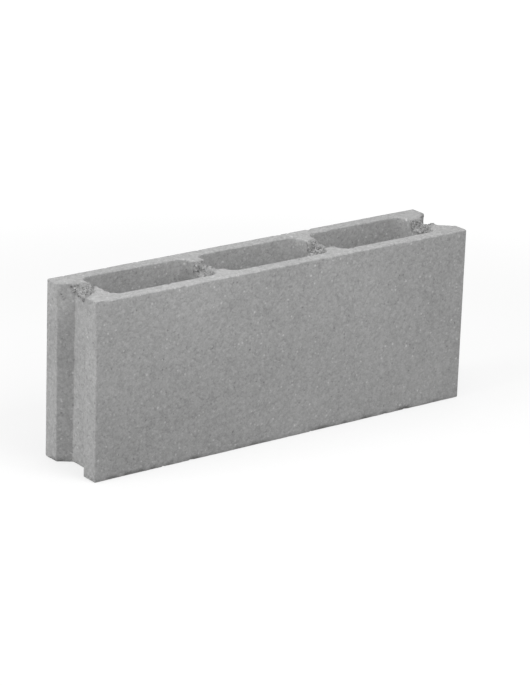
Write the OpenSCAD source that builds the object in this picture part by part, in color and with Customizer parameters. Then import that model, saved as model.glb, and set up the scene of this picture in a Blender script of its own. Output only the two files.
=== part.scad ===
// Hollow concrete block with a row of tapered cores, keyed ends and the
// open mark that the mould's core bar leaves across the top of the webs.
// Millimetres. X runs along the block, Y through its thickness, Z up.
// The origin is at the middle of the bed face that the block stands on.

/* [Block] */
// Length of the block, end to end
block_length = 500; // [390:1:600]
// Thickness of the block, face to face
block_thickness = 95; // [85:1:150]
// Height of the block as it stands
block_height = 200; // [140:1:250]
// Bevel of the worn outer arrises
arris_bevel = 1.5; // [0.5:0.25:4]

/* [Cores] */
// Number of cores in the row
core_count = 3; // [2:1:4]
// Face shell beside the cores, at the top
shell_thickness = 15; // [12:0.5:24]
// Web between two cores, at the top
web_thickness = 15; // [12:0.5:30]
// Web between an end groove and the next core, at the top
end_web_thickness = 15; // [12:0.5:30]
// Corner radius of a core, at the top
core_corner_radius = 12; // [5:0.5:25]
// Growth of each wall of a core from the top down to the bed face
core_taper = 3; // [1:0.25:4.5]

/* [End grooves] */
// Width of a groove's mouth on the end face, at the top
groove_mouth = 50; // [40:1:60]
// Depth of a groove, at the top
groove_depth = 16; // [8:0.5:24]
// Lean of a groove's side walls away from the block's length, in degrees
groove_lean = 28; // [5:1:35]
// Loss of depth and of half width from the top down to the bed face
groove_taper = 1.25; // [0:0.25:3]

/* [Core bar notch] */
// Width of the notch at the top of the webs
notch_mouth = 28; // [20:1:32]
// Width of the notch at its floor
notch_floor = 16; // [12:1:20]
// Depth of the notch below the top
notch_depth = 12; // [6:1:30]

/* [Hidden] */
$fn = 64;

concrete_grey = [0.62, 0.62, 0.61];
half = 1 / 2;
// Reach of every cut past the faces that it opens
cut_past = 5;

core_width = block_thickness - 2 * shell_thickness;
webs_between = (core_count - 1) * web_thickness;
core_row_length = block_length - 2 * (groove_depth + end_web_thickness);
core_length = (core_row_length - webs_between) / core_count;
core_pitch = core_length + web_thickness;

// Share of a taper that is reached at height z: none at the top, all at the bed face
function taper_share(z) = 1 - z / block_height;

// Corner radius of a core at height z
function core_radius_at(z) = core_corner_radius - core_taper * taper_share(z);

// Outline of a length by a height, standing on its lower edge, with bevelled corners
function bevelled_outline(length, height, bevel) = let (side = length * half) [
    [-side + bevel, 0],
    [side - bevel, 0],
    [side, bevel],
    [side, height - bevel],
    [side - bevel, height],
    [-side + bevel, height],
    [-side, height - bevel],
    [-side, bevel]
];

// Plan of an end groove at height z, measured inwards from the end face
function groove_outline(z) = let (
    loss = groove_taper * taper_share(z),
    depth = groove_depth - loss,
    run = tan(groove_lean),
    mouth_side = groove_mouth * half - loss + cut_past * run,
    floor_side = groove_mouth * half - loss - depth * run
) [
    [-cut_past, -mouth_side],
    [depth, -floor_side],
    [depth, floor_side],
    [-cut_past, mouth_side]
];

// Profile carried along X, with its first coordinate on Y and its second on Z
module along_x(length) {
    rotate([90, 0, 90]) linear_extrude(length, center = true) children();
}

// Profile carried along Y, with its first coordinate on X and its second on Z
module along_y(length) {
    rotate([90, 0, 0]) linear_extrude(length, center = true) children();
}

// Solid between two outlines of as many points, counter-clockwise seen from above
module tapered_prism(lower, z_low, upper, z_high) {
    count = len(lower);
    last = count - 1;
    rim = [for (p = lower) [p.x, p.y, z_low]];
    crown = [for (p = upper) [p.x, p.y, z_high]];
    bottom_face = [for (i = [0 : last]) i];
    top_face = [for (i = [0 : last]) count + last - i];
    side_faces = [for (i = [0 : last]) [i, count + i, count + (i + 1) % count, (i + 1) % count]];
    polyhedron(concat(rim, crown), concat([bottom_face, top_face], side_faces));
}

// Full block before its cores and grooves, with every outer arris bevelled
module bevelled_block() {
    intersection() {
        along_x(block_length) polygon(bevelled_outline(block_thickness, block_height, arris_bevel));
        along_y(block_thickness) polygon(bevelled_outline(block_length, block_height, arris_bevel));
        translate([0, -block_thickness * half, 0])
            linear_extrude(block_height)
                polygon(bevelled_outline(block_length, block_thickness, arris_bevel));
    }
}

// Flat walls of a core: half the span between corner centres, plus the radius, at both ends
module core_wall_profile(to_corner) {
    z_low = -cut_past;
    z_high = block_height + cut_past;
    low = to_corner + core_radius_at(z_low);
    high = to_corner + core_radius_at(z_high);
    polygon([[-low, z_low], [low, z_low], [high, z_high], [-high, z_high]]);
}

// One core: four conical corners about upright axes, and the flat walls between them
module core_void() {
    to_corner_x = core_length * half - core_corner_radius;
    to_corner_y = core_width * half - core_corner_radius;
    along_y(2 * to_corner_y) core_wall_profile(to_corner_x);
    along_x(2 * to_corner_x) core_wall_profile(to_corner_y);
    for (side_x = [-1, 1], side_y = [-1, 1])
        translate([side_x * to_corner_x, side_y * to_corner_y, -cut_past])
            rotate([0, 0, atan2(-side_y, -side_x)])
                cylinder(
                    h = block_height + 2 * cut_past,
                    r1 = core_radius_at(-cut_past),
                    r2 = core_radius_at(block_height + cut_past)
                );
}

// The row of cores, one pitch apart
module core_row() {
    for (i = [0 : core_count - 1])
        translate([(i - (core_count - 1) * half) * core_pitch, 0, 0]) core_void();
}

// Groove of the end at -X, which tapers like the cores
module end_groove() {
    z_low = -cut_past;
    z_high = block_height + cut_past;
    translate([-block_length * half, 0, 0])
        tapered_prism(groove_outline(z_low), z_low, groove_outline(z_high), z_high);
}

// Channel of the core bar, through every web from one end groove to the other
module core_bar_notch() {
    floor_z = block_height - notch_depth;
    spread = (notch_mouth - notch_floor) * half / notch_depth;
    floor_side = notch_floor * half;
    open_side = notch_mouth * half + cut_past * spread;
    open_z = block_height + cut_past;
    along_x(block_length)
        polygon([[-floor_side, floor_z], [floor_side, floor_z], [open_side, open_z], [-open_side, open_z]]);
}

// The whole block, cast as one piece
module concrete_block() {
    color(concrete_grey)
        difference() {
            bevelled_block();
            core_row();
            end_groove();
            mirror([1, 0, 0]) end_groove();
            core_bar_notch();
        }
}

concrete_block();
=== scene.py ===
"""Looks of a hollow concrete block: its cast surface, its concrete and a plain studio around it.

Lengths are in metres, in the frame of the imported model: X along the block, Y through it, Z up.
"""
from __future__ import annotations

import logging
import math
from dataclasses import dataclass, replace
from enum import Enum
from itertools import product
from typing import Any, Mapping, Sequence

import bpy
import numpy as np
from mathutils import Matrix, Vector

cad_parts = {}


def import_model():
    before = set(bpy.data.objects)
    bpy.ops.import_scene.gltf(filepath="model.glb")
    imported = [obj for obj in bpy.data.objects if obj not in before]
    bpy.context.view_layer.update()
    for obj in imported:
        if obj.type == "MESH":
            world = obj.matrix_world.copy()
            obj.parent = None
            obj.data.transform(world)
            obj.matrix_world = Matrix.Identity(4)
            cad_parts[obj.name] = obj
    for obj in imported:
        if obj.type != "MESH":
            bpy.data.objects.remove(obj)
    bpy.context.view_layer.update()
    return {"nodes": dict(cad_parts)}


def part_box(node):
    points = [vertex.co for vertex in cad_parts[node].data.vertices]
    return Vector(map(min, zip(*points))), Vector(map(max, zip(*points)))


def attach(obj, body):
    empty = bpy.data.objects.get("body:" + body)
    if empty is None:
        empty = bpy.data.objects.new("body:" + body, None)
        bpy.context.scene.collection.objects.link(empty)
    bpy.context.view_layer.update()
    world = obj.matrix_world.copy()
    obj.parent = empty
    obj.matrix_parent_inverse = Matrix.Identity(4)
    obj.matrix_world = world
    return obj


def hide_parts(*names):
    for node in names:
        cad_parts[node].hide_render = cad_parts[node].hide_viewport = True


LOG = logging.getLogger("concrete_block")
MM = 0.001
NODE = "concrete_block"
BODY = "root"
FRAME_HEIGHT_PX = 686

# Factors that mirror places in plan
FRONT_TO_BACK = np.array([1.0, -1.0])

# Names of the numbers that the pieces carry on their points
# Share of broken concrete at each point, which also sets where the concrete is painted darker as shade
CRUMBLE_AND_SHADE = "crumble_and_shade"
CRUMB_TONE = "crumb_tone"

# Distance within which points are one, and length that a vector is taken to have at least
WELD_REACH = 1e-6
LEAST_LENGTH = 1e-12

# Whole numbers that a random field's corners are mixed with
HASH_PRIMES = np.array([73856093, 19349663, 83492791])
HASH_SEED_PRIME = 9973
HASH_ROUNDS = ((13, 1274126177), (15, 668265263))
HASH_MASK = 0x7FFFFFFF

# Numbers of the colour sockets of a Mix node, and the middle of a noise that runs from 0 to 1
MIX_FIRST, MIX_SECOND, MIX_RESULT = 6, 7, 2
NOISE_MIDDLE = 0.5

Array = np.ndarray
Colour = tuple[float, float, float]
Place = tuple[float, float, float]


def smooth_step(low: float, high: float, value: Array) -> Array:
    """Rise from 0 at low to 1 at high along 3t^2 - 2t^3.

    Args:
        low: Value at which the rise starts.
        high: Value at which it ends; below low for a fall.
        value: Where to read the curve.

    Returns:
        The curve at each value, 0 to 1.
    """
    share = np.clip((value - low) / (high - low), 0.0, 1.0)
    return share * share * (3.0 - 2.0 * share)


def lerp(start: Array | float, end: Array | float, share: Array | float) -> Array:
    """Point that lies at a share of the way from start to end."""
    return start + (end - start) * share


def unit(vectors: Array) -> Array:
    """Vectors brought to the length 1."""
    return vectors / np.maximum(np.linalg.norm(vectors, axis=-1, keepdims=True), LEAST_LENGTH)


@dataclass(frozen=True)
class LatticeNoise:
    """Smooth random field: a random number on each corner of a cubic lattice, blended between them."""

    cell: float
    seed: int

    def at(self, points: Array) -> Array:
        """Read the field.

        In each cell the eight corner numbers are mixed with weights that run along a smooth step
        of the point's place in the cell, along X, Y and Z.

        Args:
            points: Places, one row each.

        Returns:
            A number from -1 to 1 for each place.
        """
        scaled = points / self.cell
        base = np.floor(scaled).astype(np.int64)
        weight = smooth_step(0.0, 1.0, scaled - base)
        total = np.zeros(len(points))
        for corner in product((0, 1), repeat=3):
            side = np.array(corner)
            share = np.prod(np.where(side == 1, weight, 1.0 - weight), axis=1)
            total += share * self._corner_number(base + side)
        return total

    def _corner_number(self, lattice: Array) -> Array:
        """Mix each lattice corner's three whole numbers and the seed into a random number.

        Args:
            lattice: Corners, as rows of three whole numbers.

        Returns:
            A number from -1 to 1 for each corner.
        """
        mixed = lattice @ HASH_PRIMES + self.seed * HASH_SEED_PRIME
        for shift, factor in HASH_ROUNDS:
            mixed = (mixed ^ (mixed >> shift)) * factor & HASH_MASK
        return mixed / (HASH_MASK // 2) - 1.0


@dataclass(frozen=True)
class Straight:
    """Straight stretch of an outline in plan."""

    start: Array
    end: Array

    def at(self, share: Array) -> tuple[Array, Array]:
        """Read the stretch: its start plus a share of the way to its end.

        Args:
            share: Shares of the way, 0 to 1.

        Returns:
            The points, and the unit vectors to the left of the way.
        """
        way = self.end - self.start
        left = np.array([-way[1], way[0]]) / np.hypot(*way)
        points = self.start + way * share[:, None]
        return points, np.broadcast_to(left, points.shape)


@dataclass(frozen=True)
class Arc:
    """Round stretch of an outline in plan, from one angle to another about a centre."""

    centre: Array
    radius: float
    start: float
    end: float

    def at(self, share: Array) -> tuple[Array, Array]:
        """Read the stretch: the centre plus the radius along the cosine and sine of the angle.

        Args:
            share: Shares of the turn, 0 to 1.

        Returns:
            The points, and the unit vectors to the left of the way.
        """
        angle = lerp(self.start, self.end, share)
        spoke = np.stack([np.cos(angle), np.sin(angle)], axis=1)
        points = self.centre + self.radius * spoke
        return points, -math.copysign(1.0, self.end - self.start) * spoke


Run = Straight | Arc


def rounded_path(corners: Sequence[tuple[float, float]], radii: Sequence[float]) -> list[Run]:
    """Join corners by straight stretches, with a tangent arc at each inner corner that has a radius.

    Args:
        corners: Corner points of the path.
        radii: Radius at each inner corner, 0 for a sharp one.

    Returns:
        The stretches in order; a sharp corner adds no arc.
    """
    points = [np.array(corner, dtype=float) for corner in corners]
    runs: list[Run] = []
    start = points[0]
    for before, here, after, radius in zip(points, points[1:], points[2:], radii):
        if radius == 0.0:
            runs.append(Straight(start, here))
            start = here
            continue
        way_in = (here - before) / np.hypot(*(here - before))
        way_out = (after - here) / np.hypot(*(after - here))
        turn = math.atan2(way_in[0] * way_out[1] - way_in[1] * way_out[0], float(way_in @ way_out))
        trim = radius * math.tan(abs(turn) / 2.0)
        entry = here - way_in * trim
        centre = entry + math.copysign(radius, turn) * np.array([-way_in[1], way_in[0]])
        first = math.atan2(*(entry - centre)[::-1])
        runs += [Straight(start, entry), Arc(centre, radius, first, first + turn)]
        start = here + way_out * trim
    runs.append(Straight(start, points[-1]))
    return runs


def sharp_path(corners: Sequence[tuple[float, float]]) -> list[Run]:
    """Join corners by straight stretches."""
    return rounded_path(corners, [0.0] * (len(corners) - 2))


def sample_runs(runs: Sequence[Run], counts: Sequence[int]) -> tuple[Array, Array]:
    """Sample stretches one after the other: each has its start, and only the last one its end too.

    Args:
        runs: The stretches.
        counts: Number of steps on each.

    Returns:
        The points, and the unit vectors to the left of the way.
    """
    pairs = [run.at(np.arange(count) / count) for run, count in zip(runs, counts, strict=True)]
    pairs.append(runs[-1].at(np.ones(1)))
    return np.concatenate([points for points, _ in pairs]), np.concatenate([left for _, left in pairs])


class Border(Enum):
    """What a core's cell meets on one of its two ends."""

    END = "end of the block"
    WEB = "middle of a web"


class Section(Enum):
    """Stretches of the section through the wall beside a core, in order around it."""

    OUTER_WALL = "border of the cell, from the bed face up"
    OUTER_ARRIS = "arris between the border and the top"
    TOP = "top"
    CORE_ARRIS = "arris between the top and the core"
    CORE_WALL = "wall of the core, from the top down"
    CORE_FOOT = "arris between the core and the bed face"
    BED = "bed face"
    OUTER_FOOT = "arris between the bed face and the border"


ARRISES = (Section.OUTER_ARRIS, Section.CORE_ARRIS, Section.CORE_FOOT, Section.OUTER_FOOT)
BORDER_ONLY = (Section.OUTER_WALL, Section.OUTER_ARRIS, Section.OUTER_FOOT)


@dataclass(frozen=True)
class BlockSizes:
    """Sizes of the block at its top, and what its tapers change down to the bed face.

    A core grows by its taper on every wall, and a groove loses its own in depth and in half its width.
    """

    length: float
    thickness: float
    height: float
    core_count: int = 3
    shell: float = 15.0 * MM
    web: float = 15.0 * MM
    end_web: float = 15.0 * MM
    core_radius: float = 12.0 * MM
    core_taper: float = 3.0 * MM
    groove_mouth: float = 55.0 * MM
    groove_depth: float = 16.0 * MM
    groove_lean: float = math.radians(34.5)
    groove_taper: float = 1.25 * MM
    groove_fillet: float = 1.5 * MM
    notch_mouth: float = 28.0 * MM
    notch_floor: float = 16.0 * MM
    arris: float = 1.4 * MM
    end_corner: float = 1.6 * MM

    @property
    def core_length(self) -> float:
        """Length of a core at the top."""
        webs = (self.core_count - 1) * self.web
        return (self.length - 2.0 * (self.groove_depth + self.end_web) - webs) / self.core_count

    @property
    def core_width(self) -> float:
        """Width of a core at the top."""
        return self.thickness - 2.0 * self.shell

    @property
    def pitch(self) -> float:
        """Distance from one core to the next."""
        return self.core_length + self.web

    @property
    def box(self) -> tuple[Array, Array]:
        """Lowest and highest corner of the block."""
        high = np.array([self.length / 2.0, self.thickness / 2.0, self.height])
        return np.array([-high[0], -high[1], 0.0]), high

    def core_centre(self, index: int) -> float:
        """Place along X of the middle of a core."""
        return (index - (self.core_count - 1) / 2.0) * self.pitch

    def web_centres(self) -> list[float]:
        """Find the middles of all webs.

        Returns:
            Their places along X, with the end webs first and last.
        """
        end = self.length / 2.0 - self.groove_depth - self.end_web / 2.0
        between = [self.core_centre(i) + self.pitch / 2.0 for i in range(self.core_count - 1)]
        return [-end, *between, end]


@dataclass(frozen=True)
class RubbleBed:
    """Rough bed of the core bar's notch in one web, deep at -X and shallow at +X.

    It lies between a near and a far edge along Y. They are placed at the middle of the web, run aslant
    by their slopes along X, and have banks over which the bed rises to them.
    """

    near: float
    far: float
    deep: float
    shallow: float
    rough: float = 1.0
    near_slope: float = 0.0
    far_slope: float = 0.0
    near_bank: float = 5.0 * MM
    far_bank: float = 5.0 * MM
    slope_half: float = 6.0 * MM

    def _past(self, along: Array, y: Array) -> tuple[Array, Array]:
        """How far places lie past the near and the far edge, which run aslant in plan."""
        return self.near + self.near_slope * along - y, y - self.far - self.far_slope * along

    def past_edges(self, along: Array, y: Array) -> Array:
        """How far places lie past the nearer edge, below 0 between the edges."""
        return np.maximum(*self._past(along, y))

    def depth(self, along: Array, y: Array) -> Array:
        """Depth below the block's top.

        It falls smoothly from the deep side at -X to the shallow side at +X, and rises to nothing
        over the width of the bank along each edge.

        Args:
            along: Places along X from the middle of the web.
            y: Places along Y.

        Returns:
            The depth at each place.
        """
        floor = lerp(self.deep, self.shallow, smooth_step(-self.slope_half, self.slope_half, along))
        near, far = self._past(along, y)
        return floor * smooth_step(0.0, -self.near_bank, near) * smooth_step(0.0, -self.far_bank, far)


@dataclass(frozen=True)
class Notch:
    """The mark of the mould's core bar: one rubble bed in each web, from the left end to the right."""

    beds: tuple[RubbleBed, ...] = (
        RubbleBed(
            near=-8.0 * MM,
            far=14.5 * MM,
            deep=9.5 * MM,
            shallow=3.5 * MM,
            rough=0.75,
            near_slope=1.07,
            far_slope=-0.53,
        ),
        RubbleBed(near=-19.0 * MM, far=14.0 * MM, deep=13.0 * MM, shallow=4.0 * MM, rough=0.8),
        RubbleBed(near=-19.0 * MM, far=11.0 * MM, deep=12.5 * MM, shallow=5.0 * MM, far_slope=0.25),
        RubbleBed(
            near=-14.0 * MM,
            far=13.0 * MM,
            deep=10.0 * MM,
            shallow=6.3 * MM,
            near_slope=0.55,
            near_bank=16.0 * MM,
        ),
    )

    def depth(self, sizes: BlockSizes, x: Array, y: Array) -> Array:
        """Depth of the notch below the block's top: each bed's, as far as its web and its brims reach.

        Args:
            sizes: Sizes of the block.
            x: Places along X.
            y: Places along Y.

        Returns:
            The depth at each place, nothing away from the webs.
        """
        total = np.zeros(np.broadcast(x, y).shape)
        for centre, bed in zip(sizes.web_centres(), self.beds, strict=True):
            total += np.where(np.abs(x - centre) < sizes.web, bed.depth(x - centre, y), 0.0)
        return total


@dataclass(frozen=True)
class CellPlan:
    """Upright lines around one core, as places in plan on the cell's border and on the core's wall.

    Both have places at the top and at the bed face, and unit vectors that point into the wall. Walled
    tells where the border is an outer face of the block, and not the middle of a web.
    """

    outer_top: Array
    outer_low: Array
    outer_left: Array
    inner_top: Array
    inner_low: Array
    inner_left: Array
    walled: Array

    def _places(self) -> dict[str, Array]:
        """All places and unit vectors, by name."""
        return {name: values for name, values in vars(self).items() if name != "walled"}

    def turned(self) -> CellPlan:
        """The same lines turned half a turn about the middle of the cell."""
        return replace(self, **{name: -values for name, values in self._places().items()})

    def mirrored(self) -> CellPlan:
        """The same lines mirrored front to back, in the order that carries on around the cell."""
        moved = {name: values[::-1] * FRONT_TO_BACK for name, values in self._places().items()}
        return CellPlan(**moved, walled=self.walled[::-1])

    def without_first(self) -> CellPlan:
        """The same lines without the first one."""
        return CellPlan(**{name: values[1:] for name, values in vars(self).items()})

    @staticmethod
    def joined(parts: Sequence[CellPlan]) -> CellPlan:
        """Lines of several parts, one part after the other."""
        names = vars(parts[0])
        joined = {name: np.concatenate([getattr(part, name) for part in parts]) for name in names}
        return CellPlan(**joined)


@dataclass(frozen=True)
class GridLayout:
    """Numbers of lines on the stretches of a cell's plan and of rows on its surfaces, and their spacing.

    The halves go from a face to the middle of the block's thickness. The splits are angles in degrees
    that part a core's corner arc, and the stations say where the notch's two lines end at the bed face,
    as shares of a flat stretch. Crowding is a power that draws rows together towards the top.
    """

    face: int = 44
    end_half: tuple[int, ...] = (18, 4, 10, 3, 9, 3, 2, 16, 12)
    web_half: tuple[int, ...] = (8, 12, 5, 14, 12)
    end_splits: tuple[float, ...] = (-90.0, -32.0, -27.0, -15.0, -11.0, 0.0)
    web_splits: tuple[float, ...] = (-90.0, -45.0, 0.0)
    low_stations: tuple[float, float] = (0.72, 0.34)
    groove_flat: float = 0.95
    wall_rows: int = 60
    core_rows: int = 34
    top_rows: int = 12
    bed_rows: int = 5
    arris_rows: int = 3
    wall_crowding: float = 1.45
    core_crowding: float = 1.6

    def half_counts(self, border: Border) -> tuple[int, ...]:
        """Lines on each stretch of half a cell's side."""
        return self.end_half if border is Border.END else self.web_half

    def corner_angles(self, border: Border) -> Array:
        """Angles that split a core's corner arc."""
        return np.radians(self.end_splits if border is Border.END else self.web_splits)

    def wall_shares(self) -> Array:
        """Heights of the outer wall's rows from bed to top, as shares."""
        return 1.0 - (1.0 - np.linspace(0.0, 1.0, self.wall_rows + 1)) ** self.wall_crowding

    def core_shares(self) -> Array:
        """Heights of the core wall's rows from top to bed, as shares."""
        return 1.0 - np.linspace(0.0, 1.0, self.core_rows + 1) ** self.core_crowding


def pushed(place: Array, way: Array, offset: Array) -> Array:
    """Places in plan by line and row, at offsets from a line's place along its way."""
    return place[:, None, :] + way[:, None, :] * offset[..., None]


def blended(start: Array, end: Array, rows: int) -> Array:
    """Places in plan by line and row, in even steps from one place of a line to another."""
    return lerp(start, end, np.linspace(0.0, 1.0, rows + 1)[None, :, None])


def raised(flat: Array, height: Array) -> Array:
    """Points by line and row from places in plan and heights."""
    level = np.broadcast_to(height, flat.shape[:2])
    return np.concatenate([flat, level[..., None]], axis=2)


@dataclass(frozen=True)
class BlockSurface:
    """The cast surface as grids: around each core, and around the section of the wall beside it."""

    sizes: BlockSizes
    notch: Notch
    layout: GridLayout = GridLayout()

    def _core_half(self, border: Border, taper: float) -> list[Run]:
        """Outline of a core from the end of its front wall, round a corner, to the middle of its end wall.

        Args:
            border: What the cell meets there, which sets how the corner's arc is split.
            taper: Share of the taper, 0 at the top and 1 at the bed face.

        Returns:
            The stretches, as many as the border has.
        """
        sizes = self.sizes
        centre = np.array(
            [sizes.core_length / 2.0 - sizes.core_radius, sizes.core_radius - sizes.core_width / 2.0]
        )
        radius = sizes.core_radius - sizes.core_taper * taper
        angles = self.layout.corner_angles(border)
        arcs: list[Run] = [Arc(centre, radius, a, b) for a, b in zip(angles, angles[1:])]
        wall_x = centre[0] + radius
        mouth, floor = self._notch_stations(centre[1], taper)
        wall_y = [centre[1], (centre[1] + mouth) / 2.0, mouth, floor, 0.0]
        if border is Border.WEB:
            wall_y.pop(1)
        return arcs + sharp_path([(wall_x, y) for y in wall_y])

    def _notch_stations(self, reach: float, taper: float) -> tuple[float, float]:
        """Places along Y of the notch's mouth and floor edges; lower down the lines spread evenly.

        Args:
            reach: Place along Y where the flat stretch starts, in front of the middle.
            taper: Share of the taper, 0 at the top and 1 at the bed face.

        Returns:
            The two places, both in front of the middle.
        """
        spread = np.array(self.layout.low_stations) * reach
        sharp = -np.array([self.sizes.notch_mouth, self.sizes.notch_floor]) / 2.0
        mouth, floor = lerp(sharp, spread, taper)
        return float(mouth), float(floor)

    def _web_half(self, taper: float) -> list[Run]:
        """Middle of a web, from the front face to the middle of the block's thickness.

        Args:
            taper: Share of the taper, 0 at the top and 1 at the bed face.

        Returns:
            The stretches, as many as the core's half outline has beside a web.
        """
        sizes = self.sizes
        front = -sizes.thickness / 2.0
        corner_y = sizes.core_radius - sizes.core_width / 2.0
        mouth_y, floor_y = self._notch_stations(corner_y, taper)
        web_y = [front, corner_y, mouth_y, floor_y, 0.0]
        face_end = (sizes.core_length / 2.0 - sizes.core_radius, front)
        return sharp_path([face_end] + [(sizes.pitch / 2.0, y) for y in web_y])

    def _end_half(self, middle: float, taper: float) -> list[Run]:
        """Block's end and its groove, from the front face to the middle of the block's thickness.

        Args:
            middle: Place along X of the cell's middle.
            taper: Share of the taper, 0 at the top and 1 at the bed face.

        Returns:
            The stretches, as many as the core's half outline has beside an end.
        """
        sizes = self.sizes
        front = -sizes.thickness / 2.0
        face_end = (sizes.core_length / 2.0 - sizes.core_radius, front)
        loss = sizes.groove_taper * taper
        end_x = sizes.length / 2.0 - abs(middle)
        floor_x = end_x - sizes.groove_depth + loss
        mouth_side = sizes.groove_mouth / 2.0 - loss
        floor_side = mouth_side - (end_x - floor_x) * math.tan(sizes.groove_lean)
        mouth_y, floor_y = self._notch_stations(-floor_side * self.layout.groove_flat, taper)
        corners = [face_end, (end_x, front), (end_x, -mouth_side), (floor_x, -floor_side)]
        corners += [(floor_x, mouth_y), (floor_x, floor_y), (floor_x, 0.0)]
        return rounded_path(corners, [sizes.end_corner, sizes.end_corner, sizes.groove_fillet, 0.0, 0.0])

    def _border_half(self, border: Border, middle: float, taper: float) -> list[Run]:
        """What the cell meets on one end, from the front face to the middle of the block's thickness."""
        return self._end_half(middle, taper) if border is Border.END else self._web_half(taper)

    def _side(self, border: Border, middle: float) -> CellPlan:
        """Lines of the cell's side at +X, from the front face round to the back face.

        Args:
            border: What the cell meets on that side.
            middle: Place along X of the cell's middle.

        Returns:
            The lines between the two faces, with the back half a mirror of the front half.
        """
        counts = self.layout.half_counts(border)
        outer_top, outer_left = sample_runs(self._border_half(border, middle, 0.0), counts)
        outer_low, _ = sample_runs(self._border_half(border, middle, 1.0), counts)
        inner_top, inner_left = sample_runs(self._core_half(border, 0.0), counts)
        inner_low, _ = sample_runs(self._core_half(border, 1.0), counts)
        on_face = np.isclose(np.abs(outer_top[:, 1]), self.sizes.thickness / 2.0)
        outer_left = np.where(on_face[:, None], np.array([0.0, 1.0]), outer_left)
        walled = on_face | (border is Border.END)
        half = CellPlan(outer_top, outer_low, outer_left, inner_top, inner_low, -inner_left, walled)
        front = half.without_first()
        return CellPlan.joined([front, front.mirrored().without_first()])

    def _face(self) -> CellPlan:
        """Lines of the cell's front, along the flat of the core's front wall.

        Returns:
            The lines, evenly spaced along X.
        """
        sizes = self.sizes
        reach = sizes.core_length / 2.0 - sizes.core_radius
        x = np.linspace(-reach, reach, self.layout.face + 1)
        outer = np.stack([x, np.full_like(x, -sizes.thickness / 2.0)], axis=1)
        inner_top = np.stack([x, np.full_like(x, -sizes.core_width / 2.0)], axis=1)
        inner_low = inner_top - np.array([0.0, -sizes.core_taper])
        left = np.broadcast_to(np.array([0.0, 1.0]), outer.shape)
        return CellPlan(outer, outer, left, inner_top, inner_low, -left, np.ones(len(x), dtype=bool))

    def _cell(self, index: int) -> CellPlan:
        """All lines around one core: front, +X side, back and -X side.

        Args:
            index: Number of the core in the row.

        Returns:
            The lines, with places from the middle of the core.
        """
        middle = self.sizes.core_centre(index)
        ahead = Border.END if index == self.sizes.core_count - 1 else Border.WEB
        behind = Border.END if index == 0 else Border.WEB
        face = self._face()
        sides = [face, self._side(ahead, middle), face.turned(), self._side(behind, middle).turned()]
        return CellPlan.joined(sides)

    def _top_of(self, flat: Array, middle: float) -> Array:
        """Height of the block's top, or of the notch's bed, at places in plan."""
        return self.sizes.height - self.notch.depth(self.sizes, flat[..., 0] + middle, flat[..., 1])

    def _upright(self, low: Array, high: Array, top: Array, share: Array) -> Array:
        """Tapered wall between the arrises: each line is a straight blend of its two ends.

        Args:
            low: Places in plan of the lines at the bed face.
            high: Places in plan of the lines at the block's full height.
            top: Height at which each line ends.
            share: Heights of the rows, as shares of the way between the arrises.

        Returns:
            Points by line and row.
        """
        arris = self.sizes.arris
        level = lerp(np.full_like(top, arris), top - arris, share[None, :])
        way_up = (level / self.sizes.height)[..., None]
        return raised(lerp(low[:, None, :], high[:, None, :], way_up), level)

    def _rows(self, plan: CellPlan, middle: float) -> tuple[Array, Array, Array]:
        """Section of the wall on every line: up the border, over the top, down the core, under the bed.

        Each arris is a quarter round: at the angle t it lies a(1 - cos t) in from the wall and
        a(1 - sin t) below the top, with a its radius. In between, rows are straight blends, and
        the top is lowered by the depth of the notch.

        Args:
            plan: The cell's lines.
            middle: Place along X of the cell's middle.

        Returns:
            Points by line and row, how much of an arris each row is, and the rows that a web keeps.
        """
        layout, arris = self.layout, self.sizes.arris
        angle = np.linspace(0.0, math.pi / 2.0, layout.arris_rows + 1)[None, 1:-1]
        step_in, step_down = arris * (1.0 - np.cos(angle)), arris * (1.0 - np.sin(angle))
        back_in, back_down = step_in[:, ::-1], step_down[:, ::-1]
        inset = (arris * plan.walled)[:, None]
        rim = np.full_like(inset, arris)
        outer, outer_foot = (plan.outer_top, plan.outer_left), (plan.outer_low, plan.outer_left)
        inner, inner_foot = (plan.inner_top, plan.inner_left), (plan.inner_low, plan.inner_left)
        edge, bed_edge = pushed(*outer, inset), pushed(*outer_foot, inset)
        core, bed_core = pushed(*inner, rim), pushed(*inner_foot, rim)
        edge_top, core_top = self._top_of(edge, middle), self._top_of(core, middle)
        top_flat = blended(edge, core, layout.top_rows)
        bed_flat = blended(bed_core, bed_edge, layout.bed_rows)
        rise, fall = layout.wall_shares(), layout.core_shares()
        parts = {
            Section.OUTER_WALL: self._upright(plan.outer_low, plan.outer_top, edge_top, rise),
            Section.OUTER_ARRIS: raised(pushed(*outer, step_in), edge_top - step_down),
            Section.TOP: raised(top_flat, self._top_of(top_flat, middle)),
            Section.CORE_ARRIS: raised(pushed(*inner, back_in), core_top - back_down),
            Section.CORE_WALL: self._upright(plan.inner_low, plan.inner_top, core_top, fall),
            Section.CORE_FOOT: raised(pushed(*inner_foot, step_in), step_down),
            Section.BED: raised(bed_flat, np.zeros((1, 1))),
            Section.OUTER_FOOT: raised(pushed(*outer_foot, back_in), back_down),
        }
        row_counts = [part.shape[1] for part in parts.values()]
        is_arris = np.repeat([float(stretch in ARRISES) for stretch in parts], row_counts)
        kept_by_web = np.repeat([stretch not in BORDER_ONLY for stretch in parts], row_counts)
        return np.concatenate(list(parts.values()), axis=1), is_arris, kept_by_web

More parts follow.
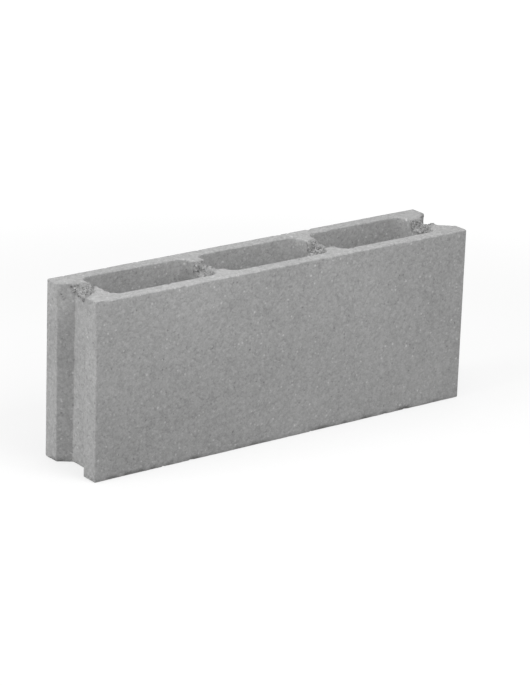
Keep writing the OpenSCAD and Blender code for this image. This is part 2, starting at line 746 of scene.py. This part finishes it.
    def build(self) -> tuple[Array, Array, Array]:
        """Weld the cells' grids into one closed surface.

        Returns:
            Points, the corner indices of the four-sided faces, and how much of an arris each point is.
        """
        points, quads, edges = [], [], []
        offset = 0
        for index in range(self.sizes.core_count):
            middle = self.sizes.core_centre(index)
            plan = self._cell(index)
            grid, is_arris, kept_by_web = self._rows(plan, middle)
            grid = grid + np.array([middle, 0.0, 0.0])
            lines, rows = grid.shape[:2]
            number = np.arange(lines * rows).reshape(lines, rows) + offset
            right, above = np.roll(number, -1, axis=0), np.roll(number, -1, axis=1)
            faces = np.stack([number, right, np.roll(right, -1, axis=1), above], axis=2)
            in_wall = plan.walled & np.roll(plan.walled, -1)
            in_web = kept_by_web & np.roll(kept_by_web, -1)
            points.append(grid.reshape(-1, 3))
            quads.append(faces[in_wall[:, None] | in_web[None, :]])
            edges.append(np.broadcast_to(is_arris, (lines, rows)).ravel())
            offset += lines * rows
        return weld(np.concatenate(points), np.concatenate(quads), np.concatenate(edges))


def weld(points: Array, quads: Array, edges: Array) -> tuple[Array, Array, Array]:
    """Merge points that lie in one place, and drop those that no face uses.

    Args:
        points: Places, one row each.
        quads: Corner indices of each face.
        edges: One number for each point.

    Returns:
        The three with the merged numbering.
    """
    spots = np.round(points / WELD_REACH).astype(np.int64)
    _, first, place = np.unique(spots, axis=0, return_index=True, return_inverse=True)
    used, renumbered = np.unique(place.reshape(-1)[quads], return_inverse=True)
    kept = first[used]
    return points[kept], renumbered.reshape(quads.shape), edges[kept]


def gathered(values: Array, quads: Array, count: int) -> Array:
    """Sum over the faces: each point gets the values of the faces that meet there.

    Args:
        values: One vector for each face.
        quads: Corner indices of each face.
        count: Number of points.

    Returns:
        One vector for each point.
    """
    corners = quads.ravel()
    spread = np.repeat(values, quads.shape[1], axis=0)
    return np.stack([np.bincount(corners, column, count) for column in spread.T], axis=1)


def face_crosses(corners: Array) -> Array:
    """Cross products of the diagonals of four-sided faces: normals twice as long as the areas."""
    return np.cross(corners[:, 2] - corners[:, 0], corners[:, 3] - corners[:, 1])


def point_normals(points: Array, quads: Array) -> Array:
    """Unit normals at the points, from the sum of the faces' normals by area."""
    return unit(gathered(face_crosses(points[quads]), quads, len(points)))


def eased(vectors: Array, quads: Array, rounds: int) -> Array:
    """Make unit vectors turn gradually: each becomes the mean of the faces' means around it, in rounds.

    Args:
        vectors: One unit vector for each point.
        quads: Corner indices of each face.
        rounds: How many times to take the mean.

    Returns:
        The eased unit vectors.
    """
    for _ in range(rounds):
        vectors = unit(gathered(vectors[quads].mean(axis=1), quads, len(vectors)))
    return vectors


@dataclass(frozen=True)
class BrokenZone:
    """Where the core bar leaves the concrete broken: the notch's beds and their mouths in the grooves."""

    sizes: BlockSizes
    notch: Notch
    border: float = 4.5 * MM
    ragged: float = 2.2 * MM
    ragged_noise: LatticeNoise = LatticeNoise(cell=6.0 * MM, seed=20)
    flare_start: float = 9.0 * MM
    flare_end: float = 2.0 * MM
    flare_depth: float = 8.0 * MM
    web_fade: float = 2.5 * MM
    groove_share: float = 0.5
    groove_fade: float = 4.0 * MM

    # The share returned here also sets how much painted shade the concrete gets, so each bed's rough and
    # the groove share set that shade too
    def at(self, points: Array) -> Array:
        """How broken the surface is, 1 in the notch and 0 on moulded faces.

        The broken zone of a web fades out past the edges and the floor of its bed, over a border that
        a noise makes ragged. In an end web it flares to the groove's width and gets deeper towards the
        end face, and the groove is broken by a share only.

        Args:
            points: Places on the surface.

        Returns:
            A number from 0 to 1 for each place.
        """
        sizes = self.sizes
        x, y, z = points.T
        end_face = sizes.length / 2.0
        groove_floor = end_face - sizes.groove_depth
        flare = smooth_step(groove_floor - self.flare_start, end_face - self.flare_end, np.abs(x))
        past_mouth = np.abs(y) - flare * sizes.groove_mouth / 2.0
        ragged = self.ragged * self.ragged_noise.at(points)
        broken = np.zeros(len(points))
        for centre, bed in zip(sizes.web_centres(), self.notch.beds, strict=True):
            outwards = (x - centre) * math.copysign(1.0, centre)
            past_web = np.abs(x - centre) - sizes.web / 2.0
            is_end = abs(centre) > groove_floor - sizes.end_web
            past_web = np.where(is_end & (outwards > 0.0), -sizes.web, past_web)
            past_side = np.minimum(bed.past_edges(x - centre, y), past_mouth)
            past_floor = sizes.height - z - bed.deep - flare * self.flare_depth
            gaps = [np.maximum(past + ragged, 0.0) / self.border for past in (past_side, past_floor)]
            inside = smooth_step(1.0, 0.0, np.hypot(*gaps)) * smooth_step(self.web_fade, 0.0, past_web)
            broken = np.maximum(broken, inside * bed.rough)
        in_groove = smooth_step(groove_floor, groove_floor + self.groove_fade, np.abs(x))
        return broken * lerp(1.0, self.groove_share, in_groove)


@dataclass(frozen=True)
class WornCorner:
    """The front top corner at -X, which handling has worn off."""

    sizes: BlockSizes
    reach: Place = (14.0 * MM, 3.5 * MM, 50.0 * MM)
    rough: float = 0.4 * MM
    noise: LatticeNoise = LatticeNoise(cell=3.0 * MM, seed=25)

    def cut(self, points: Array) -> Array:
        """Knock the corner off: what is past a plane goes back to it along its normal.

        The plane cuts the corner's three edges at the reaches. A place lies past it by one less the
        sum of its distances from the corner, each as a share of its reach, over the length of the
        vector of one over the reaches, and a noise roughens the cut.

        Args:
            points: Places on the surface.

        Returns:
            The places with the corner off.
        """
        low, high = self.sizes.box
        corner = np.array([low[0], low[1], high[2]])
        inwards = np.array([1.0, 1.0, -1.0])
        slope = inwards / np.array(self.reach)
        steepness = np.linalg.norm(slope)
        past = (1.0 - (points - corner) @ slope) / steepness
        rough = self.rough * self.noise.at(points)
        return points + np.maximum(past + rough, 0.0)[:, None] * slope / steepness


@dataclass(frozen=True)
class Relief:
    """What casting and handling leave on the moulded surface: grain, fracture, worn arrises and chips."""

    sizes: BlockSizes
    zone: BrokenZone
    corner: WornCorner
    grain: float = 0.12 * MM
    grain_noise: LatticeNoise = LatticeNoise(cell=4.0 * MM, seed=22)
    ripple: float = 0.25 * MM
    ripple_noise: LatticeNoise = LatticeNoise(cell=30.0 * MM, seed=23)
    arris_wear: float = 0.8 * MM
    wear_noise: LatticeNoise = LatticeNoise(cell=7.0 * MM, seed=24)
    wear_bias: float = 0.25
    chip_count: int = 110
    chip_radius: tuple[float, float] = (1.2 * MM, 3.0 * MM)
    chip_share: float = 0.5
    chip_seed: int = 20
    fracture: float = 1.4 * MM
    fracture_noises: tuple[LatticeNoise, ...] = (
        LatticeNoise(cell=7.0 * MM, seed=30),
        LatticeNoise(cell=3.2 * MM, seed=31),
        LatticeNoise(cell=1.6 * MM, seed=32),
    )
    fracture_sink: float = 1.2 * MM
    fracture_depth: float = 2.4 * MM
    easing_rounds: int = 80

    def _breakage(self, points: Array) -> Array:
        """Rough fracture: noises creased where they pass 0, each half as high as the one before.

        Args:
            points: Places on the surface.

        Returns:
            The height of the fracture at each place, above or below 0.
        """
        total = np.zeros(len(points))
        for octave, noise in enumerate(self.fracture_noises):
            crease = 1.0 - 2.0 * np.abs(noise.at(points))
            total += crease * 0.5 ** octave
        return total * self.fracture

    def _chips(self, points: Array, edges: Array) -> Array:
        """Depth of chips knocked off the arrises: a share of what a ball at the arris would take away.

        Args:
            points: Places on the surface.
            edges: How much of an arris each point is.

        Returns:
            The depth at each place.
        """
        random = np.random.default_rng(self.chip_seed)
        on_arris = np.flatnonzero(edges)
        middles = points[random.choice(on_arris, self.chip_count)]
        radii = random.uniform(*self.chip_radius, self.chip_count)
        depth = np.zeros(len(points))
        for middle, radius in zip(middles, radii):
            apart = np.linalg.norm(points - middle, axis=1)
            depth = np.maximum(depth, self.chip_share * np.maximum(radius - apart, 0.0))
        return depth

    def apply(self, points: Array, quads: Array, edges: Array) -> tuple[Array, Array]:
        """Move the moulded surface's points along their normals, and keep them in the block's box.

        Grain and ripple move a point inwards along its normal. Wear, chips and fracture move it along
        a normal that is eased in rounds, so that the surface doesn't fold at an arris. The fracture is
        sunk a little under the moulded surface, and cut off at its depth.

        Args:
            points: Places on the moulded surface.
            quads: Corner indices of its faces.
            edges: How much of an arris each point is.

        Returns:
            The moved points, and how broken the surface is at each.
        """
        normals = point_normals(points, quads)
        broken = self.zone.at(points)
        fine = self.grain * np.abs(self.grain_noise.at(points))
        slow = self.ripple * (0.5 + 0.5 * self.ripple_noise.at(points))
        worn = np.maximum(self.wear_noise.at(points) + self.wear_bias, 0.0)
        loss = edges * self.arris_wear * worn + self._chips(points, edges)
        fracture = np.maximum(self._breakage(points) - self.fracture_sink, -self.fracture_depth)
        outwards = lerp(-loss, fracture, broken)
        inwards = (fine + slow) * (1.0 - broken)
        gradual = eased(normals, quads, self.easing_rounds)
        moved = points - normals * inwards[:, None] + gradual * outwards[:, None]
        return np.clip(self.corner.cut(moved), *self.sizes.box), broken


def cube_ball(cuts: int) -> tuple[Array, Array]:
    """Ball from a cube: each face is a grid of the angles a, b from -45 to 45 degrees.

    A grid point (1, tan a, tan b) of a face is brought to the unit ball by its length.

    Args:
        cuts: Number of cells along an edge.

    Returns:
        The points and the corner indices of the four-sided faces.
    """
    slope = np.tan(np.linspace(-math.pi / 4.0, math.pi / 4.0, cuts + 1))
    u, v = np.meshgrid(slope, slope, indexing="ij")
    number = np.arange(u.size).reshape(u.shape)
    cell = np.stack([number[:-1, :-1], number[1:, :-1], number[1:, 1:], number[:-1, 1:]], axis=2)
    faces, quads = [], []
    for index, (axis, side) in enumerate(product(range(3), (1.0, -1.0))):
        first, second = (u, v) if side > 0.0 else (v, u)
        face = np.stack([np.full_like(u, side), first, second], axis=2).reshape(-1, 3)
        faces.append(np.roll(face, axis, axis=1))
        quads.append(cell.reshape(-1, 4) + index * u.size)
    points = unit(np.concatenate(faces))
    points, quads, _ = weld(points, np.concatenate(quads), np.zeros(len(points)))
    return points, quads


@dataclass(frozen=True)
class Rubble:
    """Loose-looking crumbs of broken concrete that stand half bedded in the notch.

    Plane reach and bedding are shares of a crumb's radius, and stretch is a factor along its axes. The
    biases are powers: one makes small crumbs more common, one draws crumbs to the most broken faces.
    """

    count: int = 1200
    radius: tuple[float, float] = (0.7 * MM, 2.8 * MM)
    small_bias: float = 2.0
    cuts: int = 3
    planes: int = 10
    plane_reach: tuple[float, float] = (0.45, 0.85)
    least_facing: float = 0.05
    stretch: tuple[float, float] = (0.75, 1.15)
    bedded: float = 0.35
    least_broken: float = 0.3
    broken_bias: int = 3
    margin: float = 0.4 * MM
    seed: int = 11

    def _spots(self, corners: Array, broken: Array, random: np.random.Generator) -> tuple[Array, Array]:
        """Random places on the broken faces, and the unit normals there.

        A face is taken by its area times a power of how broken it is, and the place on it is the
        blend of its four corners at two random shares.

        Args:
            corners: Corner points by face.
            broken: How broken each face is.
            random: Source of random numbers.

        Returns:
            Places and normals.
        """
        across = face_crosses(corners)
        weight = np.where(broken > self.least_broken, broken, 0.0) ** self.broken_bias
        chance = np.linalg.norm(across, axis=1) * weight
        picks = random.choice(len(corners), self.count, p=chance / chance.sum())
        first, second = random.random((2, self.count, 1))
        a, b, c, d = corners[picks].transpose(1, 0, 2)
        return lerp(lerp(a, b, first), lerp(d, c, first), second), unit(across[picks])

    def _turns(self, random: np.random.Generator) -> Array:
        """Random turn for each crumb, made from two random directions.

        Args:
            random: Source of random numbers.

        Returns:
            Three unit vectors for each crumb, square to each other.
        """
        first, other = unit(random.normal(size=(2, self.count, 3)))
        third = unit(np.cross(first, other))
        return np.stack([first, np.cross(third, first), third], axis=1)

    def _shapes(self, ball: Array, radius: Array, random: np.random.Generator) -> Array:
        """Crumbs about their own middles.

        A crumb is a ball whose way out in each direction ends at the nearest of a few random
        planes, stretched and turned at random. A plane at the distance r is met after r over the
        cosine between the direction and the plane's normal.

        Args:
            ball: Points of the unit ball.
            radius: Radius of each crumb.
            random: Source of random numbers.

        Returns:
            Points by crumb.
        """
        planes = unit(random.normal(size=(self.count, self.planes, 3)))
        reach = random.uniform(*self.plane_reach, (self.count, 1, self.planes))
        facing = np.einsum("vk,cpk->cvp", ball, planes)
        met = np.where(facing > self.least_facing, reach / np.maximum(facing, self.least_facing), 1.0)
        shape = ball[None, :, :] * np.min(met, axis=2, initial=1.0)[..., None]
        shape = shape * random.uniform(*self.stretch, (self.count, 1, 3)) * radius[:, None, None]
        return np.einsum("cvk,ckj->cvj", shape, self._turns(random))

    def build(self, sizes: BlockSizes, corners: Array, broken: Array) -> tuple[Array, Array, Array]:
        """Scatter the crumbs on the broken zones, each with its middle a little under the surface.

        Args:
            sizes: Sizes of the block, whose box the crumbs keep to.
            corners: Corner points of the block's faces, by face.
            broken: How broken each face is.

        Returns:
            Points, the corner indices of the four-sided faces, and each point's tone, -1 to 1.
        """
        random = np.random.default_rng(self.seed)
        places, normals = self._spots(corners, broken, random)
        radius = lerp(*self.radius, random.random(self.count) ** self.small_bias)
        ball, cell = cube_ball(self.cuts)
        shapes = self._shapes(ball, radius, random)
        middles = places - normals * (self.bedded * radius)[:, None]
        low, high = sizes.box
        low_end = low + self.margin - shapes.min(axis=1)
        high_end = high - self.margin - shapes.max(axis=1)
        crumbs = np.clip(middles, low_end, high_end)[:, None, :] + shapes
        quads = cell[None, :, :] + (np.arange(self.count) * len(ball))[:, None, None]
        tone = np.repeat(random.uniform(-1.0, 1.0, self.count), len(ball))
        return crumbs.reshape(-1, 3), quads.reshape(-1, 4), tone


class Graph:
    """Shader nodes of one material or world."""

    def __init__(self, tree: bpy.types.NodeTree) -> None:
        """Start from an empty tree."""
        self.tree = tree
        tree.nodes.clear()

    def node(
        self,
        kind: str,
        settings: Mapping[str, Any] | None = None,
        inputs: Mapping[str | int, Any] | None = None,
    ) -> bpy.types.Node:
        """Add a node.

        Args:
            kind: The node's type, without its ShaderNode prefix.
            settings: Values of the node itself, set first.
            inputs: Values, sockets or wrapped values for its sockets, by name or number.

        Returns:
            The node.
        """
        node = self.tree.nodes.new("ShaderNode" + kind)
        for name, value in (settings or {}).items():
            setattr(node, name, value)
        for name, value in (inputs or {}).items():
            socket = value.socket if isinstance(value, Value) else value
            if isinstance(socket, bpy.types.NodeSocket):
                self.tree.links.new(socket, node.inputs[name])
            else:
                node.inputs[name].default_value = socket
        return node

    def value(self, kind: str, output: str | int, **parts: Mapping[Any, Any]) -> Value:
        """Add a node and wrap one of its outputs; parts are its settings and inputs."""
        return Value(self, self.node(kind, **parts).outputs[output])


@dataclass(frozen=True)
class Value:
    """A number on a socket: arithmetic on it adds Math nodes."""

    graph: Graph
    socket: bpy.types.NodeSocket

    def _math(self, operation: str, first: Any, second: Any = 0.0) -> Value:
        """Add a Math node on two numbers."""
        return self.graph.value("Math", 0, settings={"operation": operation}, inputs={0: first, 1: second})

    def __add__(self, other: Any) -> Value:
        """Sum."""
        return self._math("ADD", self, other)

    __radd__ = __add__

    def __mul__(self, other: Any) -> Value:
        """Product."""
        return self._math("MULTIPLY", self, other)

    __rmul__ = __mul__

    def __sub__(self, other: Any) -> Value:
        """Difference."""
        return self._math("SUBTRACT", self, other)

    def __rsub__(self, other: Any) -> Value:
        """Difference from a plain number."""
        return self._math("SUBTRACT", other, self)

    def at_most(self, other: Any) -> Value:
        """The lesser of the two."""
        return self._math("MINIMUM", self, other)

    def at_least(self, other: Any) -> Value:
        """The greater of the two."""
        return self._math("MAXIMUM", self, other)

    def size(self) -> Value:
        """The number without its sign."""
        return self._math("ABSOLUTE", self)

    def rise(self, low: float, high: float) -> Value:
        """Smooth rise from 0 at low to 1 at high; a fall where high is the lesser."""
        return self.graph.value(
            "MapRange",
            0,
            settings={"interpolation_type": "SMOOTHSTEP"},
            inputs={"Value": self, "From Min": low, "From Max": high},
        )


def seen_directly(graph: Graph) -> Value:
    """Tell what the camera sees from light that falls on things.

    Args:
        graph: Where to add the nodes.

    Returns:
        1 for what the camera sees itself, or in a mirror or through glass, and 0 for the rest.
    """
    path = graph.node("LightPath")
    names = ("Is Camera Ray", "Is Glossy Ray", "Is Transmission Ray")
    camera, mirror, glass = (Value(graph, path.outputs[name]) for name in names)
    return camera.at_least(mirror).at_least(glass)


@dataclass(frozen=True)
class NoiseLayer:
    """Soft variation of the concrete: the size of its features, and what it adds to tone and relief."""

    cell: float
    detail: float
    tone: float = 0.0
    relief: float = 0.0
    roughness: float = 0.6

    def on(self, graph: Graph, place: bpy.types.NodeSocket) -> Value:
        """Noise from about -0.5 to 0.5, read at coordinates on the piece."""
        size = {"Scale": 1.0 / self.cell, "Detail": self.detail, "Roughness": self.roughness}
        return graph.value("TexNoise", "Fac", inputs={"Vector": place, **size}) - NOISE_MIDDLE


@dataclass(frozen=True)
class GrainLayer:
    """Packed grains of the concrete: their size, and what they add to tone and relief."""

    cell: float
    tone: float
    relief: float = 0.0

    def on(self, graph: Graph, place: bpy.types.NodeSocket) -> tuple[Value, Value]:
        """Add the grains.

        Args:
            graph: Where to add the nodes.
            place: Coordinates on the piece.

        Returns:
            A random tone from -0.5 to 0.5 for each grain, and the distance from the grain's middle.
        """
        cells = graph.node("TexVoronoi", inputs={"Vector": place, "Scale": 1.0 / self.cell})
        tone = graph.value("SeparateColor", "Red", inputs={"Color": cells.outputs["Color"]})
        return tone - NOISE_MIDDLE, Value(graph, cells.outputs["Distance"])


@dataclass(frozen=True)
class ConcreteFinish:
    """Dry pressed concrete: grey paste over packed sand, open pores, and sparse pale and dark stones.

    Pairs of numbers are where a smooth step starts and ends: of the distance from a stone's or a
    grain's middle, as a share of the cell, and of the noise that opens the pores.
    """

    paste: float = 0.40
    darkest: float = 0.03
    tint: Colour = (1.0, 1.0, 0.998)
    clouds: NoiseLayer = NoiseLayer(cell=140.0 * MM, detail=3.0, tone=0.32)
    mottle: NoiseLayer = NoiseLayer(cell=12.0 * MM, detail=4.0, tone=0.12, relief=1.0)
    dust: NoiseLayer = NoiseLayer(cell=0.7 * MM, detail=2.0, tone=0.30, relief=0.7)
    grit: GrainLayer = GrainLayer(cell=3.6 * MM, tone=0.16, relief=0.30)
    sand: GrainLayer = GrainLayer(cell=1.7 * MM, tone=0.19, relief=0.40)
    stones: GrainLayer = GrainLayer(cell=5.0 * MM, tone=0.34)
    stone_bias: float = 0.06
    stone_gain: float = 4.0
    stone_body: tuple[float, float] = (0.32, 0.16)
    pores: float = 0.10
    pore_relief: float = 0.5
    pore_noise: NoiseLayer = NoiseLayer(cell=6.0 * MM, detail=2.0)
    pore_opening: tuple[float, float] = (-0.04, 0.14)
    pore_border: tuple[float, float] = (0.42, 0.66)
    pores_broken: float = 0.6
    crumbs: float = 0.22
    # Painted shade: how much darker the broken zones and the rubble are drawn, for the shade in their pits
    # and between the crumbs
    broken: float = 0.21
    roughness: float = 0.9
    mottle_roughness: float = 0.12
    stone_polish: float = 0.08
    specular: float = 0.25
    bump_depth: float = 0.5 * MM
    bump_strength: float = 0.5
    warp_cell: float = 3.0 * MM
    warp_detail: float = 2.0
    warp_push: float = 1.0 * MM

    def build(self) -> bpy.types.Material:
        """Make the material.

        The tone is the paste's times one plus a sum: noises the size of a hand and of a fingertip,
        a random tone for each packed grain of grit and sand, dark pores at the grit's borders where
        another noise opens them, a random tone for the few cells that hold a stone and for each crumb,
        and painted shade that darkens the notch's broken zones and its rubble.

        Returns:
            The material, which reads Object coordinates and the broken zones' attributes.
        """
        material = bpy.data.materials.new("pressed_concrete")
        material.use_nodes = True
        graph = Graph(material.node_tree)
        place = self._warped(graph, graph.node("TexCoord").outputs["Object"])
        broken = graph.value("Attribute", "Fac", settings={"attribute_name": CRUMBLE_AND_SHADE})
        crumb = graph.value("Attribute", "Fac", settings={"attribute_name": CRUMB_TONE})
        clouds = self.clouds.on(graph, place)
        mottle = self.mottle.on(graph, place)
        dust = self.dust.on(graph, place)
        grit_tone, grit_reach = self.grit.on(graph, place)
        sand_tone, sand_reach = self.sand.on(graph, place)
        stone = self._stones(graph, place)
        open_share = self.pore_noise.on(graph, place).rise(*self.pore_opening)
        pore = grit_reach.rise(*self.pore_border) * open_share.at_least(self.pores_broken * broken)
        tone = 1.0 + self.clouds.tone * clouds + self.mottle.tone * mottle + self.grit.tone * grit_tone
        tone = tone + self.sand.tone * sand_tone + self.dust.tone * dust - self.pores * pore
        # The last term is painted shade: it darkens the broken zones and the rubble
        tone = tone + self.stones.tone * stone + self.crumbs * crumb - self.broken * broken
        height = self.mottle.relief * mottle + self.dust.relief * dust - self.grit.relief * grit_reach
        height = height - self.sand.relief * sand_reach - self.pore_relief * pore
        rough = self.roughness + self.mottle_roughness * mottle - self.stone_polish * stone
        colour = graph.node(
            "Mix",
            settings={"data_type": "RGBA", "blend_type": "MULTIPLY"},
            inputs={
                "Factor": 1.0,
                MIX_FIRST: (self.paste * tone).at_least(self.darkest),
                MIX_SECOND: (*self.tint, 1.0),
            },
        )
        bump = graph.node(
            "Bump",
            inputs={"Strength": self.bump_strength, "Distance": self.bump_depth, "Height": height},
        )
        surface = graph.node(
            "BsdfPrincipled",
            inputs={
                "Base Color": colour.outputs[MIX_RESULT],
                "Roughness": rough.at_most(1.0),
                "Normal": bump.outputs["Normal"],
                "Specular IOR Level": self.specular,
            },
        )
        graph.node("OutputMaterial", inputs={"Surface": surface.outputs["BSDF"]})
        return material

    def _warped(self, graph: Graph, place: bpy.types.NodeSocket) -> bpy.types.NodeSocket:
        """Push coordinates about by a fine noise, so that no grain is round.

        Args:
            graph: Where to add the nodes.
            place: Coordinates on the piece.

        Returns:
            The coordinates plus the noise's vector times the push.
        """
        noise = graph.node(
            "TexNoise",
            inputs={"Vector": place, "Scale": 1.0 / self.warp_cell, "Detail": self.warp_detail},
        )
        push = graph.node(
            "VectorMath",
            settings={"operation": "MULTIPLY_ADD"},
            inputs={0: noise.outputs["Color"], 1: (self.warp_push,) * 3, 2: place},
        )
        return push.outputs["Vector"]

    def _stones(self, graph: Graph, place: bpy.types.NodeSocket) -> Value:
        """Sparse stones: a cell's tone times its own size, so that few cells stand out.

        Args:
            graph: Where to add the nodes.
            place: Coordinates on the piece.

        Returns:
            Above 0 on pale stones, below 0 on dark ones, and 0 between the stones.
        """
        tone, reach = self.stones.on(graph, place)
        tone = tone + self.stone_bias
        return reach.rise(*self.stone_body) * tone * tone.size() * self.stone_gain


@dataclass(frozen=True)
class FloorFinish:
    """Pale matte floor, which the eye sees lifted, and white past a distance from the block."""

    grey: float = 0.30
    lift: float = 0.68
    white_from: tuple[float, float] = (0.5, 1.6)

    def build(self) -> bpy.types.Material:
        """Make the material.

        Returns:
            A matte grey that keeps shadows, with a glow for the eye alone.
        """
        material = bpy.data.materials.new("pale_floor")
        material.use_nodes = True
        graph = Graph(material.node_tree)
        matte = graph.node("BsdfDiffuse", inputs={"Color": (*[self.grey] * 3, 1.0)}).outputs["BSDF"]
        place = graph.node("TexCoord").outputs["Object"]
        away = graph.value("VectorMath", "Value", settings={"operation": "LENGTH"}, inputs={0: place})
        level = self.lift + (1.0 - self.lift) * away.rise(*self.white_from)
        glow = graph.node("Emission", inputs={"Color": level, "Strength": 1.0}).outputs["Emission"]
        lifted = graph.node("AddShader", inputs={0: matte, 1: glow}).outputs["Shader"]
        shown = graph.node("MixShader", inputs={"Fac": seen_directly(graph), 1: matte, 2: lifted})
        graph.node("OutputMaterial", inputs={"Surface": shown.outputs["Shader"]})
        return material


@dataclass(frozen=True)
class BlockCasting:
    """The block as it shows: its cast piece, in place of the plain solid, and the notch's rubble."""

    sizes: BlockSizes
    finish: ConcreteFinish

    def build(self) -> None:
        """Make both pieces, dress them, hang them on the block's body and hide the plain solid."""
        notch = Notch()
        concrete = self.finish.build()
        relief = Relief(self.sizes, BrokenZone(self.sizes, notch), WornCorner(self.sizes))
        moulded, quads, edges = BlockSurface(self.sizes, notch).build()
        points, broken = relief.apply(moulded, quads, edges)
        block = self._mesh_piece("block_casting", points, quads, concrete)
        self._set_attribute(block, CRUMBLE_AND_SHADE, broken)
        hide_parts(NODE)
        crumbs, crumb_quads, tone = Rubble().build(self.sizes, points[quads], broken[quads].mean(axis=1))
        rubble = self._mesh_piece("notch_rubble", crumbs, crumb_quads, concrete)
        rubble.data.shade_flat()
        # The rubble counts as wholly broken, so it gets the full painted shade
        self._set_attribute(rubble, CRUMBLE_AND_SHADE, np.ones(len(crumbs)))
        self._set_attribute(rubble, CRUMB_TONE, tone)

    @staticmethod
    def _set_attribute(piece: bpy.types.Object, name: str, values: Array) -> None:
        """Store one number for each point of a piece."""
        attribute = piece.data.attributes.new(name, "FLOAT", "POINT")
        attribute.data.foreach_set("value", values.astype(np.float32))

    @staticmethod
    def _mesh_piece(
        name: str, points: Array, quads: Array, material: bpy.types.Material
    ) -> bpy.types.Object:
        """Put points and four-sided faces into a smooth mesh that rides on the block's body.

        Args:
            name: Name of the piece.
            points: Places, one row each.
            quads: Corner indices of each face.
            material: What it is made of.

        Returns:
            The piece, at the origin, linked to the scene.
        """
        mesh = bpy.data.meshes.new(name)
        mesh.vertices.add(len(points))
        mesh.vertices.foreach_set("co", points.ravel().astype(np.float32))
        mesh.loops.add(quads.size)
        mesh.loops.foreach_set("vertex_index", quads.ravel().astype(np.int32))
        mesh.polygons.add(len(quads))
        mesh.polygons.foreach_set("loop_start", np.arange(0, quads.size, quads.shape[1], dtype=np.int32))
        mesh.polygons.foreach_set("use_smooth", np.ones(len(quads), dtype=bool))
        mesh.update(calc_edges=True)
        mesh.materials.append(material)
        piece = bpy.data.objects.new(name, mesh)
        bpy.context.scene.collection.objects.link(piece)
        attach(piece, BODY)
        LOG.info("%s: %d points, %d faces", name, len(points), len(quads))
        return piece


@dataclass(frozen=True)
class PhotoCamera:
    """Camera at the photograph's angle, found from the block's corners in it.

    At an azimuth of 0 it looks along +Y, and its focal length is in pixels of the photograph's frame.
    """

    aim: Place = (0.02201, 0.02070, 0.08654)
    azimuth: float = math.radians(-37.607)
    elevation: float = math.radians(19.019)
    roll: float = math.radians(1.948)
    distance: float = 3.4265
    focal_px: float = 3092.5

    def build(self) -> None:
        """Place the camera: back from the aim, rolled on its line of sight, tilted and turned about Z."""
        data = bpy.data.cameras.new("photo_camera")
        data.sensor_fit = "VERTICAL"
        data.lens = self.focal_px * data.sensor_height / FRAME_HEIGHT_PX
        camera = bpy.data.objects.new("photo_camera", data)
        turn = Matrix.Translation(self.aim) @ Matrix.Rotation(self.azimuth, 4, "Z")
        tilt = Matrix.Rotation(math.pi / 2.0 - self.elevation, 4, "X")
        roll = Matrix.Rotation(self.roll, 4, "Z")
        camera.matrix_world = turn @ tilt @ roll @ Matrix.Translation((0.0, 0.0, self.distance))
        bpy.context.scene.collection.objects.link(camera)
        bpy.context.scene.camera = camera


@dataclass(frozen=True)
class Softbox:
    """One large soft lamp that faces the block."""

    name: str
    place: Place
    size: float
    power: float

    def build(self, aim: Place) -> None:
        """Hang the lamp and turn it.

        Args:
            aim: Point that it faces.
        """
        data = bpy.data.lights.new(self.name, "AREA")
        data.shape = "SQUARE"
        data.size = self.size
        data.energy = self.power
        lamp = bpy.data.objects.new(self.name, data)
        lamp.visible_camera = False
        way = Vector(aim) - Vector(self.place)
        turn = way.to_track_quat("-Z", "Y").to_matrix().to_4x4()
        lamp.matrix_world = Matrix.Translation(self.place) @ turn
        bpy.context.scene.collection.objects.link(lamp)


@dataclass(frozen=True)
class Studio:
    """Pale floor, white surround and soft lamps."""

    aim: Place = (0.0, 0.0, 0.1)
    floor_reach: float = 8.0
    floor_finish: FloorFinish = FloorFinish()
    surround: float = 0.57
    lamps: tuple[Softbox, ...] = (
        Softbox("side_softbox", place=(-3.0, 0.45, 1.1), size=1.8, power=51.0),
        Softbox("top_softbox", place=(0.0, 0.0, 3.0), size=2.0, power=13.5),
        Softbox("front_softbox", place=(-0.02, -0.55, 0.75), size=0.4, power=3.3),
    )

    def build(self) -> None:
        """Make the floor, the surround and the lamps."""
        bpy.context.scene.view_settings.view_transform = "Standard"
        self._floor()
        self._surround()
        for lamp in self.lamps:
            lamp.build(self.aim)

    def _floor(self) -> None:
        """Flat floor whose corners lie plus and minus its reach from the origin, along X and Y."""
        corner = np.array([[-1.0, -1.0], [1.0, -1.0], [1.0, 1.0], [-1.0, 1.0]]) * self.floor_reach
        points = np.concatenate([corner, np.zeros((len(corner), 1))], axis=1)
        mesh = bpy.data.meshes.new("studio_floor")
        mesh.from_pydata(points.tolist(), [], [range(len(corner))])
        mesh.materials.append(self.floor_finish.build())
        floor = bpy.data.objects.new("studio_floor", mesh)
        bpy.context.scene.collection.objects.link(floor)

    def _surround(self) -> None:
        """Even light from all round, which the eye sees as white."""
        world = bpy.data.worlds.new("studio_surround")
        world.use_nodes = True
        graph = Graph(world.node_tree)
        white = (1.0, 1.0, 1.0, 1.0)
        light, backdrop = (
            graph.node("Background", inputs={"Color": white, "Strength": strength}).outputs["Background"]
            for strength in (self.surround, 1.0)
        )
        shown = graph.node("MixShader", inputs={"Fac": seen_directly(graph), 1: light, 2: backdrop})
        graph.node("OutputWorld", inputs={"Surface": shown.outputs["Shader"]})
        bpy.context.scene.world = world


def main() -> None:
    """Load the frame, take the block's sizes from it, and build the block, the studio and the camera."""
    logging.basicConfig(level=logging.INFO)
    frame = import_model()
    LOG.info("nodes: %s", ", ".join(frame["nodes"]))
    low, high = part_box(NODE)
    length, thickness, height = (float(b - a) for a, b in zip(low, high))
    BlockCasting(BlockSizes(length, thickness, height), ConcreteFinish()).build()
    Studio().build()
    PhotoCamera().build()


if __name__ == "__main__":
    main()
